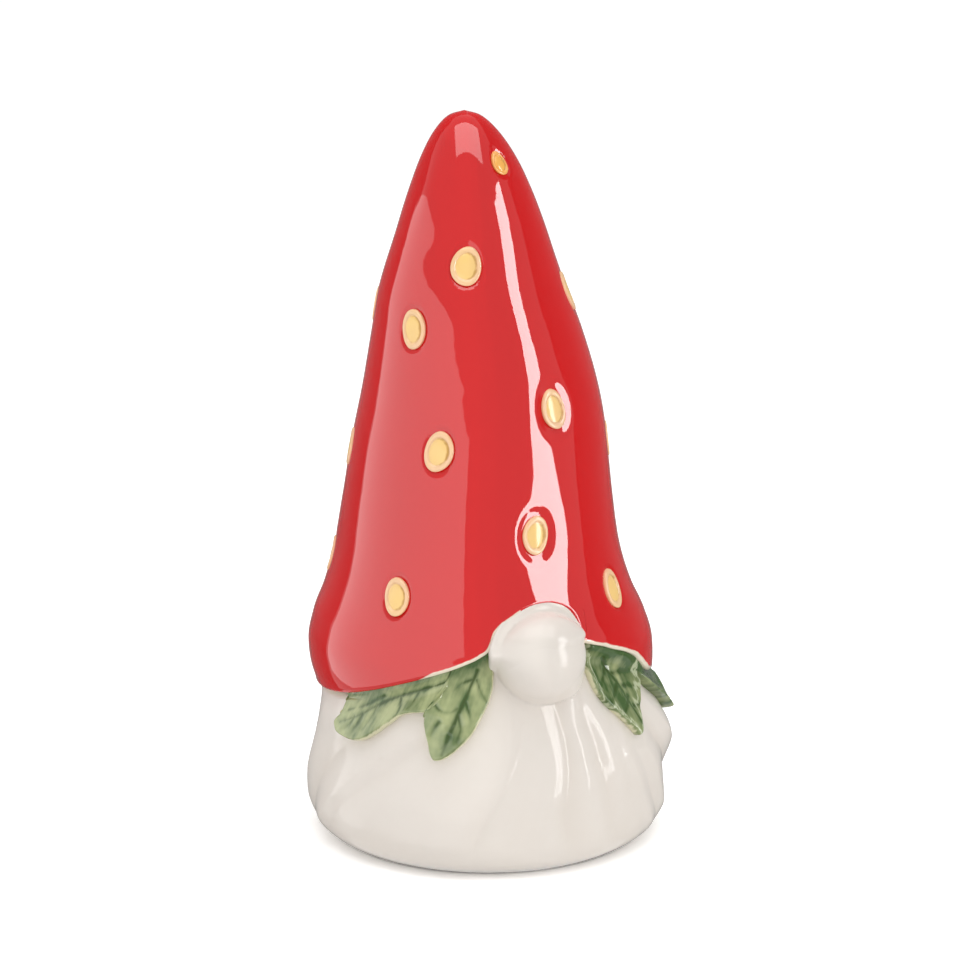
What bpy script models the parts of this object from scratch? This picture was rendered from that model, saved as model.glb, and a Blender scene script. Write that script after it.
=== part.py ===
"""Ceramic garden gnome: a hollow strawberry-shaped hat luted over the neck of a hollow fluted beard,
with a ball nose, a ring of calyx leaves under the brim and raised seeds in the hat.

Metres, +Z up. The face looks along -Y and the origin is on the ground under the middle of the piece.
Azimuths are in degrees round the Z axis, 0 at the face and positive towards +X.
"""

import math

import bpy
import numpy as np
from mathutils import Matrix, Vector

# Hat casting
HAT_TOP = 0.1985  # tip above the ground
HAT_RADIUS = 0.0477  # widest ring, a little above the brim
HAT_WALL = 0.0050
BRIM_ROUND = 0.0024  # radius of the brim's outer edge
HAT_LEAN_BACK = 0.0120  # how far the tip stands behind the foot's centre
HAT_SWAY = -0.0018  # how far the tip stands to one side of it
BRIM_SIDE = 0.0440  # height of the brim's edge at the ears
BRIM_FRONT_RISE = 0.0175  # how much higher the brim is over the nose
BRIM_BACK_DROP = 0.0050  # how much lower it is at the back
BACK_WAVE_SHARES = (-0.17, 0.87)  # where that drop starts and ends, by how far round to the back
# Outline of the hat, brim to tip: (share of the height above the brim, share of HAT_RADIUS)
HAT_OUTLINE_SHARES = (
    (0.000, 0.980),
    (0.030, 0.997),
    (0.065, 1.000),
    (0.110, 0.965),
    (0.165, 0.891),
    (0.220, 0.838),
    (0.325, 0.779),
    (0.434, 0.731),
    (0.541, 0.662),
    (0.647, 0.575),
    (0.754, 0.468),
    (0.860, 0.353),
    (0.913, 0.281),
    (0.965, 0.180),
    (0.990, 0.098),
    (1.000, 0.000),
)
# Centre line of the hat: (share of HAT_TOP, share of HAT_LEAN_BACK, share of HAT_SWAY)
CENTRE_LINE_SHARES = (
    (0.00, 0.00, 0.00),
    (0.08, 0.00, 0.00),
    (0.15, 0.00, -0.90),
    (0.23, 0.15, 0.35),
    (0.30, 0.25, 0.65),
    (0.41, 0.37, 0.75),
    (0.51, 0.46, 0.20),
    (0.63, 0.58, -0.45),
    (0.70, 0.66, -0.10),
    (0.76, 0.73, 0.50),
    (0.85, 0.83, 0.35),
    (0.93, 0.92, 0.50),
    (1.00, 1.00, 1.00),
)

# Beard casting, which is also the gnome's body
FOOT_RADIUS = 0.0420
BELLY_RADIUS = 0.0494  # widest ring of the beard
BELLY_HEIGHT = 0.0160
CHEST_RADIUS = 0.0375  # ring at the height of the nose
BODY_WALL = 0.0045
FOOT_RING_WIDTH = 0.0080
FOOT_RECESS = 0.0020  # the floor's underside above the ground
FLOOR_THICKNESS = 0.0045
FLOOR_CORNER = 0.0045  # how far the corner round the floor fills the hollow
VENT_RADIUS = 0.0050  # hole that lets the kiln's heat out of the hollow
SEAT_ABOVE_BRIM = 0.0050  # the neck fills the hat from this far above the brim's front
NECK_LENGTH = 0.0160
NECK_FLARE = 0.0030  # height over which the neck opens out to its seat
SHOULDER = 0.0060  # height over which the beard draws in under the brim
SHOULDER_SINK = 0.0010  # how far below the brim's edge it has drawn in
FOLD_DEPTH = 0.0024
FOLD_FADE_FOOT = 0.0120  # height over which the folds fade in from the foot
FOLD_FADE_BRIM = 0.0100  # and out again below the shoulder
# Valleys between the beard's folds, by their azimuth at the foot
FOLD_VALLEYS = (-158, -126, -91, -49, -21, 13, 35, 72, 108, 141, 172)

# Ball nose
NOSE_RADIUS = 0.0121
NOSE_HEIGHT = 0.0578
NOSE_BEDDING = 0.0085  # depth of the ball that lies behind the chest's surface

# Calyx leaves, which hang from under the brim
LEAF_THICKNESS = 0.0020
LEAF_TUCK = 0.0030  # depth of a leaf's root above the brim's edge
LEAF_NECK = 0.0008  # drop below the brim's edge at which a leaf turns out over the beard
LEAF_TIP_LIFT = 0.0012  # how far the end of a leaf stands off the beard
FRONT_LEAF_DROP = 0.0225  # from the brim's edge to the leaf's lowest point
SIDE_LEAF_DROP = 0.0122
BACK_LEAF_DROP = 0.0185
# Outline of each leaf: its root's two ends by azimuth, then its free edge from the one end to the
# other by (azimuth, share of its drop). A back leaf's azimuths are from its own middle.
FRONT_RIGHT_EDGE_SHARES = (
    (20.5, 40),
    (
        (18.5, 0.36),
        (19.5, 0.54),
        (22, 0.71),
        (26, 0.84),
        (31, 0.93),
        (37, 1.00),
        (39.5, 0.87),
        (40.5, 0.67),
        (41, 0.40),
    ),
)
FRONT_LEFT_EDGE_SHARES = (
    (20.5, 45),
    (
        (19.5, 0.40),
        (21.5, 0.56),
        (24, 0.74),
        (30, 0.88),
        (36, 0.96),
        (39.5, 0.84),
        (42.5, 0.60),
        (46, 0.36),
    ),
)
SIDE_RIGHT_EDGE_SHARES = (
    (43, 77),
    (
        (43, 0.79),
        (47, 0.74),
        (52, 0.74),
        (57, 0.80),
        (63, 0.93),
        (69, 1.00),
        (74, 0.95),
        (78.5, 0.70),
        (79.5, 0.33),
    ),
)
SIDE_LEFT_EDGE_SHARES = (
    (49, 76),
    (
        (49, 0.60),
        (53, 0.70),
        (57, 0.85),
        (62, 0.98),
        (68, 1.00),
        (73, 0.92),
        (77, 0.70),
        (78.5, 0.33),
    ),
)
BACK_EDGE_SHARES = (
    (-15, 15),
    (
        (-16, 0.27),
        (-14.5, 0.49),
        (-11, 0.68),
        (-6, 0.84),
        (-1, 1.00),
        (4, 0.89),
        (9, 0.70),
        (13.5, 0.49),
        (16, 0.24),
    ),
)
# name: (outline, drop, azimuth of the middle, side of the gnome it is on: -1 for its right)
LEAVES = {
    "leaf_front_right": (FRONT_RIGHT_EDGE_SHARES, FRONT_LEAF_DROP, 0, -1),
    "leaf_front_left": (FRONT_LEFT_EDGE_SHARES, FRONT_LEAF_DROP, 0, 1),
    "leaf_side_right": (SIDE_RIGHT_EDGE_SHARES, SIDE_LEAF_DROP, 0, -1),
    "leaf_side_left": (SIDE_LEFT_EDGE_SHARES, SIDE_LEAF_DROP, 0, 1),
    "leaf_back_right": (BACK_EDGE_SHARES, BACK_LEAF_DROP, 139, -1),
    "leaf_back_left": (BACK_EDGE_SHARES, BACK_LEAF_DROP, 139, 1),
    "leaf_back": (BACK_EDGE_SHARES, BACK_LEAF_DROP, 180, 1),
}

# Raised seeds
SEED_WIDTH = 0.0076
SEED_LENGTH = 0.0104
SEED_RISE = 0.0009  # rim above the hat's skin
SEED_POCKET = 0.0009  # depth of the seat pressed into the hat's skin
POCKET_DRAFT_RATIO = 0.02  # how much wider than its seed the seat is at its floor
POCKET_FLARE_RATIO = 0.30  # and above the hat's skin
# (azimuth, share of the hat's height, share of the full seed size)
SEEDS = (
    (17, 0.913, 0.62),
    (-25, 0.738, 1.08),
    (-58, 0.637, 1.00),
    (-40, 0.437, 1.04),
    (15, 0.502, 1.00),
    (3, 0.294, 0.98),
    (-53, 0.190, 0.98),
    (40, 0.180, 1.00),
    (-108, 0.410, 1.00),
    (64, 0.686, 1.00),
    (70, 0.420, 1.00),
    (88, 0.205, 1.00),
    (-112, 0.215, 1.00),
    (-118, 0.660, 0.95),
    (118, 0.560, 1.00),
    (138, 0.300, 1.04),
    (178, 0.200, 1.00),
    (-158, 0.440, 1.00),
    (165, 0.740, 0.92),
)

# Gaps that the luting slip and the glaze fill
LUTE_GAP = 0.0004
BRIM_GAP = 0.0006

FOLD_SPREAD_RATIO = 1.7  # most that the folds fan out on their way up
HAT_COLUMNS = 40
BODY_COLUMNS = 60


def curve_through(points, knots, at):
    """Smooth curve that passes the points at the knots, read at the given places between 0 and 1."""
    points = np.array(points, float)
    slopes = np.gradient(points, knots, axis=0)
    i = np.clip(np.searchsorted(knots, at, side="right") - 1, 0, len(knots) - 2)
    step = (knots[i + 1] - knots[i])[..., None]
    t = (at - knots[i])[..., None] / step
    return (
        (1 + 2 * t) * (1 - t) ** 2 * points[i]
        + t * (1 - t) ** 2 * step * slopes[i]
        + t**2 * (3 - 2 * t) * points[i + 1]
        + t**2 * (t - 1) * step * slopes[i + 1]
    )


def by_length(points):
    """Knots that space the points by the length of the line through them."""
    run = np.linalg.norm(np.diff(np.array(points, float), axis=0), axis=1)
    return np.concatenate([[0.0], np.cumsum(run)]) / run.sum()


def smoothstep(low, high, x):
    t = np.clip((x - low) / (high - low), 0.0, 1.0)
    return t * t * (3 - 2 * t)


HAT_HEIGHT = HAT_TOP - BRIM_SIDE
STEPS = np.linspace(0.0, 1.0, 400)
OUTLINE = curve_through(HAT_OUTLINE_SHARES, by_length(HAT_OUTLINE_SHARES), STEPS)
OUTLINE = np.maximum.accumulate(OUTLINE * (HAT_HEIGHT, 1.0), axis=0) * (1, 0) + OUTLINE * (0, HAT_RADIUS)
OUTLINE += (BRIM_SIDE, 0.0)
OUTLINE_SLOPE = np.gradient(OUTLINE[:, 1], OUTLINE[:, 0] + STEPS * 1e-9)
CENTRES = curve_through(CENTRE_LINE_SHARES, np.array(CENTRE_LINE_SHARES)[:, 0], STEPS)
CENTRES *= (HAT_TOP, HAT_LEAN_BACK, HAT_SWAY)


def hat_radius(height):
    """Outer skin of the hat."""
    return np.interp(height, OUTLINE[:, 0], OUTLINE[:, 1])


def lining_radius(height):
    """Inner skin of the hat, one wall inside the outer skin measured square to it."""
    slope = np.interp(height, OUTLINE[:, 0], OUTLINE_SLOPE)
    return hat_radius(height) - HAT_WALL * np.sqrt(1 + np.clip(slope, -1.0, 1.0) ** 2)


def brim_height(azimuth):
    """Height of the brim's lowest edge, a wave that lifts towards the nose."""
    rise = BRIM_FRONT_RISE * np.maximum(np.cos(azimuth), 0.0) ** 2
    drop = BRIM_BACK_DROP * smoothstep(*BACK_WAVE_SHARES, -np.cos(azimuth))
    return BRIM_SIDE + rise - drop


def place(azimuth, radius, height):
    """Points in space from azimuth (radians), radius from the centre line and height."""
    back = np.interp(height, CENTRES[:, 0], CENTRES[:, 1])
    side = np.interp(height, CENTRES[:, 0], CENTRES[:, 2])
    return np.stack(
        [
            side + radius * np.sin(azimuth),
            back - radius * np.cos(azimuth),
            height + 0 * radius,
        ],
        axis=-1,
    )


NECK_SEAT = BRIM_SIDE + BRIM_FRONT_RISE + SEAT_ABOVE_BRIM
NECK_TOP = NECK_SEAT + NECK_LENGTH
LEAF_LAYER = LEAF_THICKNESS + LUTE_GAP + BRIM_GAP


def beard_radius(height):
    """Plain outline of the beard: foot, belly and the slope up to the chest."""
    below = np.clip(height / BELLY_HEIGHT, 0.0, 1.0)
    above = np.clip((height - BELLY_HEIGHT) / (NOSE_HEIGHT - BELLY_HEIGHT), 0.0, 1.0)
    foot = (BELLY_RADIUS - FOOT_RADIUS) * (1 - below) ** 4.5
    chest = (BELLY_RADIUS - CHEST_RADIUS) * above**2.1
    return BELLY_RADIUS - foot - chest


def fold_height(azimuth, height):
    """Height of the beard's folds over its plain outline. The folds fan out from under the nose:
    each is a rounded ridge between two valleys, and they fade out under the brim and at the foot."""
    azimuth = (azimuth + np.pi) % (2 * np.pi) - np.pi
    spread = np.minimum(height / np.maximum(NOSE_HEIGHT - height, NOSE_HEIGHT / 60), FOLD_SPREAD_RATIO)
    at_foot = azimuth * (1 + spread * np.cos(azimuth / 2) ** 2)
    valleys = np.radians(FOLD_VALLEYS)
    valleys = np.concatenate([valleys[-1:] - 2 * np.pi, valleys, valleys[:1] + 2 * np.pi])
    i = np.clip(np.searchsorted(valleys, at_foot) - 1, 0, len(valleys) - 2)
    across = np.clip((at_foot - valleys[i]) / (valleys[i + 1] - valleys[i]), 0.0, 1.0)
    ridge = 1 - np.abs(2 * across - 1) ** 2.2
    edge = brim_height(azimuth) - SHOULDER
    fade = smoothstep(0.0, FOLD_FADE_FOOT, height) * (1 - smoothstep(edge - FOLD_FADE_BRIM, edge, height))
    return FOLD_DEPTH * (ridge - 0.5) * fade


def body_radius(azimuth, height, folds=True):
    """Outer skin of the beard casting, from the foot to the top of the neck inside the hat."""
    outside = beard_radius(height)
    if folds:
        outside = outside + fold_height(azimuth, height)
    layer = LEAF_LAYER + (LUTE_GAP - LEAF_LAYER) * smoothstep(NECK_SEAT - NECK_FLARE, NECK_SEAT, height)
    inside = lining_radius(height) - layer
    edge = brim_height(azimuth)
    under = smoothstep(edge - SHOULDER, edge - SHOULDER_SINK, height)
    return outside * (1 - under) + np.minimum(outside, inside) * under


def material(name, colour, roughness):
    made = bpy.data.materials.new(name)
    made.use_nodes = True
    shader = made.node_tree.nodes["Principled BSDF"]
    shader.inputs["Base Color"].default_value = (*colour, 1.0)
    shader.inputs["Roughness"].default_value = roughness
    shader.inputs["Metallic"].default_value = 0.0
    return made


def add_object(name, points, faces, finish=None, cutter=False):
    """One named object from points and faces. A cutter is left out of renders."""
    mesh = bpy.data.meshes.new(name)
    mesh.from_pydata(points.reshape(-1, 3).tolist(), [], faces)
    mesh.shade_smooth()
    mesh.set_sharp_from_angle(angle=math.radians(40))
    if finish:
        mesh.materials.append(finish)
    obj = bpy.data.objects.new(name, mesh)
    bpy.context.scene.collection.objects.link(obj)
    if cutter:
        obj.hide_render = True
        obj.display_type = "WIRE"
    return obj


def cut(obj, cutter):
    modifier = obj.modifiers.new("cut_" + cutter.name, "BOOLEAN")
    modifier.operation = "DIFFERENCE"
    modifier.solver = "EXACT"
    modifier.object = cutter


def ring_faces(columns, rows, wrap_rows):
    """Triangles of a skin made of columns of points side by side round an axis, each column top to
    bottom on the outside. wrap_rows also joins each column's last point to its first."""
    faces = []
    for c in range(columns):
        here, beside = c * rows, (c + 1) % columns * rows
        for r in range(rows if wrap_rows else rows - 1):
            below = (r + 1) % rows
            faces.append((here + r, here + below, beside + below))
            faces.append((here + r, beside + below, beside + r))
    return faces


def azimuths(columns):
    return np.arange(columns) * 2 * np.pi / columns


def make_hat(finish):
    """Hollow cone: the outer skin from the tip to the brim, the rounded brim, and the inner skin
    one wall inside it, up to its own rounded top."""
    around = azimuths(HAT_COLUMNS)[:, None]
    edge = brim_height(around)
    lip_start = edge + BRIM_ROUND
    # Heights of the outer rows: shares of the way along the outline from each column's brim to the tip
    start_along = np.interp(lip_start, OUTLINE[:, 0], STEPS)
    shares = np.linspace(1.0, 0.0, 21)[None, :]
    along = start_along + (1 - start_along) * shares
    height = np.interp(along, STEPS, OUTLINE[:, 0])
    radius = np.interp(along, STEPS, OUTLINE[:, 1])
    outer = place(around + 0 * along, radius, height)
    # Rounded edge of the brim, then its flat underside
    turn = np.radians([22.5, 45.0, 67.5, 90.0])[None, :]
    lip_radius = hat_radius(lip_start) - BRIM_ROUND * (1 - np.cos(turn))
    lip_radius = np.concatenate([lip_radius, lining_radius(lip_start)], axis=1)
    lip_height = lip_start - BRIM_ROUND * np.sin(turn)
    lip_height = np.concatenate([lip_height, edge], axis=1)
    lip = place(around + 0 * lip_height, lip_radius, lip_height)
    # Inner skin, with rows where the neck starts and ends
    lining_top = HAT_TOP - 2.4 * HAT_WALL
    height = np.concatenate(
        [
            lip_start + (NECK_SEAT - lip_start) * np.array([0.0, 0.5])[None, :],
            NECK_SEAT + NECK_LENGTH * np.array([0.0, 0.5, 1.0]) + 0 * around,
            NECK_TOP + (lining_top - NECK_TOP) * np.array([0.2, 0.4, 0.6, 0.8, 1.0]) + 0 * around,
        ],
        axis=1,
    )
    inner = place(around + 0 * height, lining_radius(height), height)
    sections = np.concatenate([outer[:, 1:], lip, inner], axis=1)
    columns, rows = sections.shape[:2]
    faces = ring_faces(columns, rows, False)
    top, inner_top = columns * rows, columns * rows + 1
    faces += [(top, c * rows, (c + 1) % columns * rows) for c in range(columns)]
    faces += [(inner_top, (c + 1) % columns * rows + rows - 1, c * rows + rows - 1) for c in range(columns)]
    lining_pole = place(np.zeros(1), np.zeros(1), np.array([lining_top + 0.4 * HAT_WALL]))
    points = np.concatenate([sections.reshape(-1, 3), outer[:1, 0], lining_pole])
    return add_object("hat", points, faces, finish)


def body_rows(around):
    """Heights of the beard's outer rows in each column, closest together where it draws in."""
    edge = brim_height(around)
    low = edge - SHOULDER
    beard = low * np.array([0, 0.03, 0.08, 0.16, 0.26, 0.38, 0.50, 0.62, 0.74, 0.87, 1.0])[None, :]
    shoulder = low + (SHOULDER - SHOULDER_SINK) * np.array([0.25, 0.5, 0.75, 1.0])[None, :]
    seat = NECK_SEAT + 0 * edge
    tuck = edge + (seat - NECK_FLARE - edge) * np.array([0.3, 1.0])[None, :]
    neck = seat + (NECK_TOP - NECK_SEAT) * np.array([0.0, 0.5, 1.0])[None, :]
    return np.concatenate([beard, shoulder, tuck, neck], axis=1)


def make_body(finish):
    """Hollow beard: outer skin, neck, inner skin, floor with its vent, and the ring foot."""
    around = azimuths(BODY_COLUMNS)[:, None]
    height = body_rows(around)[:, ::-1]
    outer = place(around + 0 * height, body_radius(around, height), height)
    floor_top = FOOT_RECESS + FLOOR_THICKNESS
    foot_inner = FOOT_RADIUS - FOOT_RING_WIDTH
    under = [(foot_inner, 0.0), (foot_inner, FOOT_RECESS), (VENT_RADIUS, FOOT_RECESS), (VENT_RADIUS, floor_top)]
    inner_height = floor_top + (NECK_TOP - floor_top) * np.array([0.0, 0.06, 0.2, 0.38, 0.5, 0.62, 0.78, 1.0])
    inner_height = inner_height[None, :] + 0 * around
    inner_radius = body_radius(around, inner_height, folds=False) - BODY_WALL
    inner_radius[:, 0] = inner_radius[:, 1] - FLOOR_CORNER
    base = np.array(under)[None, :, :] + 0 * around[:, :, None]
    sections = np.concatenate(
        [
            outer,
            place(around + 0 * base[..., 0], base[..., 0], base[..., 1]),
            place(around + 0 * inner_height, inner_radius, inner_height),
        ],
        axis=1,
    )
    columns, rows = sections.shape[:2]
    return add_object("beard_body", sections, ring_faces(columns, rows, True), finish)


def solid_of_turns(name, around, height, radius, finish=None, cutter=False):
    """Closed solid with flat ends, from radii at each azimuth and height, rows top to bottom."""
    skin = place(around + 0 * height, radius, height)
    columns, rows = skin.shape[:2]
    faces = ring_faces(columns, rows, False)
    faces.append(tuple(c * rows for c in range(columns)))
    faces.append(tuple(c * rows + rows - 1 for c in reversed(range(columns))))
    return add_object(name, skin, faces, finish, cutter)


def ball(name, centre, radius, finish=None, cutter=False):
    """Ball with its poles on the Y axis, from rings of latitude."""
    rings, segments = 14, 28
    latitude = np.linspace(0, np.pi, rings + 1)[None, 1:-1]
    turn = azimuths(segments)[:, None]
    points = np.stack(
        [
            np.sin(latitude) * np.cos(turn),
            -np.cos(latitude) + 0 * turn,
            np.sin(latitude) * np.sin(turn),
        ],
        axis=-1,
    )
    columns, rows = points.shape[:2]
    faces = ring_faces(columns, rows, False)
    front, back = columns * rows, columns * rows + 1
    faces += [(front, c * rows, (c + 1) % columns * rows) for c in range(columns)]
    faces += [(back, (c + 1) % columns * rows + rows - 1, c * rows + rows - 1) for c in range(columns)]
    points = np.concatenate([points.reshape(-1, 3), [(0, -1, 0), (0, 1, 0)]])
    return add_object(name, points * radius + centre, faces, finish, cutter)


def nose_centre():
    reach = body_radius(0.0, NOSE_HEIGHT, folds=False) + NOSE_RADIUS - NOSE_BEDDING
    return place(np.float64(0.0), reach, np.float64(NOSE_HEIGHT))


def make_beard_bed():
    """Cutter that hollows the nose and the leaves to lie on the beard, one luting gap off it."""
    around = azimuths(BODY_COLUMNS)[:, None]
    height = body_rows(around)[:, ::-1]
    bed = body_radius(around, height) + LUTE_GAP
    return solid_of_turns("beard_bed_cutter", around, height, bed, cutter=True)


def make_leaf(name, outline, longest, middle, side, finish):
    """Press-moulded leaf that lies on the beard's shoulder. Its lines run from the root, tucked under
    the brim, to the free edge, and it is thinner towards its edges."""
    (first, last), edge = outline
    across = np.linspace(0.0, 1.0, 15)
    down = np.array([0.0, 0.0, 0.11, 0.24, 0.4, 0.6, 0.8, 1.0])[None, :]
    flat = np.array(edge) * (1.0, longest * 1000)
    free = curve_through(flat, by_length(flat), across) * (np.pi / 180, 0.001)
    root = np.radians(first + (last - first) * across)
    turn = root[:, None] + (free[:, :1] - root[:, None]) * down
    drop = LEAF_NECK + (free[:, 1:] - LEAF_NECK) * down
    drop[:, 0] = -LEAF_TUCK
    azimuth = side * (math.radians(middle) + turn)
    height = brim_height(azimuth) - drop
    rounding = 1 - np.maximum(np.abs(2 * across - 1)[:, None], down) ** 4
    thickness = LEAF_THICKNESS * (0.65 + 0.35 * rounding)
    lift = LEAF_TIP_LIFT * down**2 * (0.3 + 0.7 * across[:, None] ** 2)
    bed = body_radius(azimuth, height)
    under = place(azimuth, bed - LEAF_THICKNESS / 2, height)
    over = place(azimuth, bed + LUTE_GAP + lift + thickness, height)
    rows, columns = azimuth.shape
    count = rows * columns
    cells = [
        (r * columns + c, r * columns + c + 1, (r + 1) * columns + c + 1, (r + 1) * columns + c)
        for r in range(rows - 1)
        for c in range(columns - 1)
    ]
    faces = cells + [tuple(count + i for i in reversed(cell)) for cell in cells]
    border = (
        [(0, c) for c in range(columns)]
        + [(r, columns - 1) for r in range(1, rows)]
        + [(rows - 1, c) for c in range(columns - 2, -1, -1)]
        + [(r, 0) for r in range(rows - 2, 0, -1)]
    )
    loop = [r * columns + c for r, c in border]
    faces += [(b, a, count + a, count + b) for a, b in zip(loop, loop[1:] + loop[:1])]
    if side < 0:
        faces = [tuple(reversed(face)) for face in faces]
    return add_object(name, np.concatenate([over.reshape(-1, 3), under.reshape(-1, 3)]), faces, finish)


def hat_frame(azimuth, share):
    """Place on the hat's skin, as a matrix: X to the side, Y up the slope and Z out of the skin."""
    height = BRIM_SIDE + share * HAT_HEIGHT
    step = 0.0005
    here = Vector(place(azimuth, hat_radius(height), height))
    above = Vector(place(azimuth, hat_radius(height + step), height + step))
    beside = Vector(place(azimuth + 0.01, hat_radius(height), height))
    side = (beside - here).normalized()
    up = (above - here).normalized()
    out = side.cross(up).normalized()
    side = up.cross(out)
    turned = Matrix((side, up, out)).transposed().to_4x4()
    return Matrix.Translation(here) @ turned


def turned_oval(profile, segments):
    """Points and faces of an oval button: rings of (share of the half size, height), from the middle
    of its top, over the edge and to the middle of its underside."""
    turn = azimuths(segments)
    rings = [
        np.stack([share * np.cos(turn) * SEED_WIDTH / 2, share * np.sin(turn) * SEED_LENGTH / 2, rise + 0 * turn], 1)
        for share, rise in profile[1:-1]
    ]
    points = np.concatenate(rings + [[(0, 0, profile[0][1])], [(0, 0, profile[-1][1])]])
    count = len(rings)
    faces = [
        (r * segments + n, r * segments + s, (r + 1) * segments + s, (r + 1) * segments + n)
        for r in range(count - 1)
        for s, n in ((s, (s + 1) % segments) for s in range(segments))
    ]
    top, bottom = count * segments, count * segments + 1
    faces += [(top, s, (s + 1) % segments) for s in range(segments)]
    last = (count - 1) * segments
    faces += [(bottom, last + (s + 1) % segments, last + s) for s in range(segments)]
    return points, faces


def make_seeds(finish, hat):
    """Raised oval seeds, each with a rim round a low bead, seated in a pocket in the hat's skin."""
    seed = (
        (0.0, SEED_RISE * 0.9),
        (0.40, SEED_RISE * 0.75),
        (0.62, SEED_RISE * 0.2),
        (0.86, SEED_RISE),
        (1.00, SEED_RISE * 0.2),
        (0.94, -SEED_POCKET + LUTE_GAP),
        (0.0, -SEED_POCKET + LUTE_GAP),
    )
    wall = 1.0 + 2 * LUTE_GAP / SEED_WIDTH
    pocket = (
        (0.0, SEED_RISE * 3),
        (wall + POCKET_FLARE_RATIO, SEED_RISE * 3),
        (wall + POCKET_DRAFT_RATIO, -SEED_POCKET),
        (0.0, -SEED_POCKET),
    )
    cutters = []
    for number, (azimuth, share, size) in enumerate(SEEDS, start=1):
        frame = hat_frame(math.radians(azimuth), share) @ Matrix.Diagonal((size, size, 1.0, 1.0))
        points, faces = turned_oval(seed, 12)
        placed = add_object(f"seed_{number:02d}", points, faces, finish)
        placed.data.transform(frame)
        points, faces = turned_oval(pocket, 12)
        world = np.array([frame @ Vector(p) for p in points])
        cutters.append((world, faces))
    start, points, faces = 0, [], []
    for world, own in cutters:
        points.append(world)
        faces += [tuple(start + i for i in face) for face in own]
        start += len(world)
    cut(hat, add_object("seed_pocket_cutters", np.concatenate(points), faces, cutter=True))


def main():
    for old in list(bpy.data.objects):
        bpy.data.objects.remove(old)
    red = material("strawberry_red_glaze", (0.62, 0.03, 0.03), 0.08)
    cream = material("cream_white_glaze", (0.80, 0.76, 0.69), 0.10)
    green = material("leaf_green_glaze", (0.16, 0.24, 0.08), 0.15)
    yellow = material("seed_yellow_glaze", (0.90, 0.58, 0.22), 0.12)
    hat = make_hat(red)
    make_body(cream)
    bed = make_beard_bed()
    cut(ball("nose", nose_centre(), NOSE_RADIUS, cream), bed)
    cut(hat, ball("nose_room_cutter", nose_centre(), NOSE_RADIUS + BRIM_GAP, cutter=True))
    for name, (outline, longest, middle, side) in LEAVES.items():
        cut(make_leaf(name, outline, longest, middle, side, green), bed)
    make_seeds(yellow, hat)


main()
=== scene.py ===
"""Glazed ceramic garden gnome: a hat shaped like a tall strawberry over a fluted white beard, with a
ball nose, calyx leaves under the brim and raised seeds. Metres, +Z up, and the face looks along -Y.
Azimuths are round the Z axis, 0 at the face and positive towards +X, and left and right are the
gnome's own."""

import math

import bpy
import numpy as np
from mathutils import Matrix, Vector


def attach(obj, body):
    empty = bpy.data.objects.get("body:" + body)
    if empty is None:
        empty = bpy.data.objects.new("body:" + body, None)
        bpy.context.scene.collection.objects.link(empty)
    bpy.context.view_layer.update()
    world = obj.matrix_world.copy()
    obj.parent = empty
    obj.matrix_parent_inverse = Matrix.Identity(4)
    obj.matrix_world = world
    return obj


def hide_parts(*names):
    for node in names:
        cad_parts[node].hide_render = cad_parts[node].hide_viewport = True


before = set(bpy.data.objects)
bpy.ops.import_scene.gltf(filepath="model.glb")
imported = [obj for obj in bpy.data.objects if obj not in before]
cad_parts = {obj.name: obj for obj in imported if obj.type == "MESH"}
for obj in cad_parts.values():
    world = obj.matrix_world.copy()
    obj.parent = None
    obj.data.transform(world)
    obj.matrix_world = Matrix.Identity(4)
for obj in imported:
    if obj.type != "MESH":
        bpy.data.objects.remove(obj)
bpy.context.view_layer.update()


# Hat. A hollow slip-cast cone with 5 mm walls, luted over the neck of the beard. It is dipped in red
# glaze, which breaks to a thin line of bare cream along the wavy brim and its arch over the nose.

HAT_TOP = 0.1980
HAT_RADIUS = 0.0477
HAT_WALL = 0.0050
HAT_LEAN_BACK = 0.0120
HAT_SWAY = -0.0018
BRIM_SIDE = 0.0440
BRIM_FRONT_RISE = 0.0175
BRIM_BACK_DROP = 0.0050
LIP_ROUND = 0.0013
# The brim's line is laid flat at FLAT_RADIUS. The mesh's columns leave it square to it, for about
# BRIM_PULL, and run straight up from JOIN_HEIGHT
FLAT_RADIUS = 0.0465
BRIM_PULL = 0.0100
JOIN_HEIGHT = 0.0880
# Outline from brim to tip: (share of the height above the brim, share of HAT_RADIUS)
HAT_OUTLINE = (
    (0, 0.980), (0.030, 0.997), (0.065, 1), (0.110, 0.965), (0.165, 0.891), (0.220, 0.838),
    (0.325, 0.779), (0.434, 0.731), (0.541, 0.662), (0.647, 0.575), (0.754, 0.468), (0.860, 0.353),
    (0.913, 0.281), (0.965, 0.180), (0.990, 0.098), (1, 0),
)
# Centre line: (share of HAT_TOP, share of HAT_LEAN_BACK, share of HAT_SWAY)
HAT_CENTRES = (
    (0, 0, 0), (0.08, 0, 0), (0.15, 0, -0.90), (0.23, 0.15, 0.35), (0.30, 0.25, 0.65),
    (0.41, 0.37, 0.75), (0.51, 0.46, 0.20), (0.63, 0.58, -0.45), (0.70, 0.66, -0.10),
    (0.76, 0.73, 0.50), (0.85, 0.83, 0.35), (0.93, 0.92, 0.50), (1, 1, 1),
)
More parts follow.
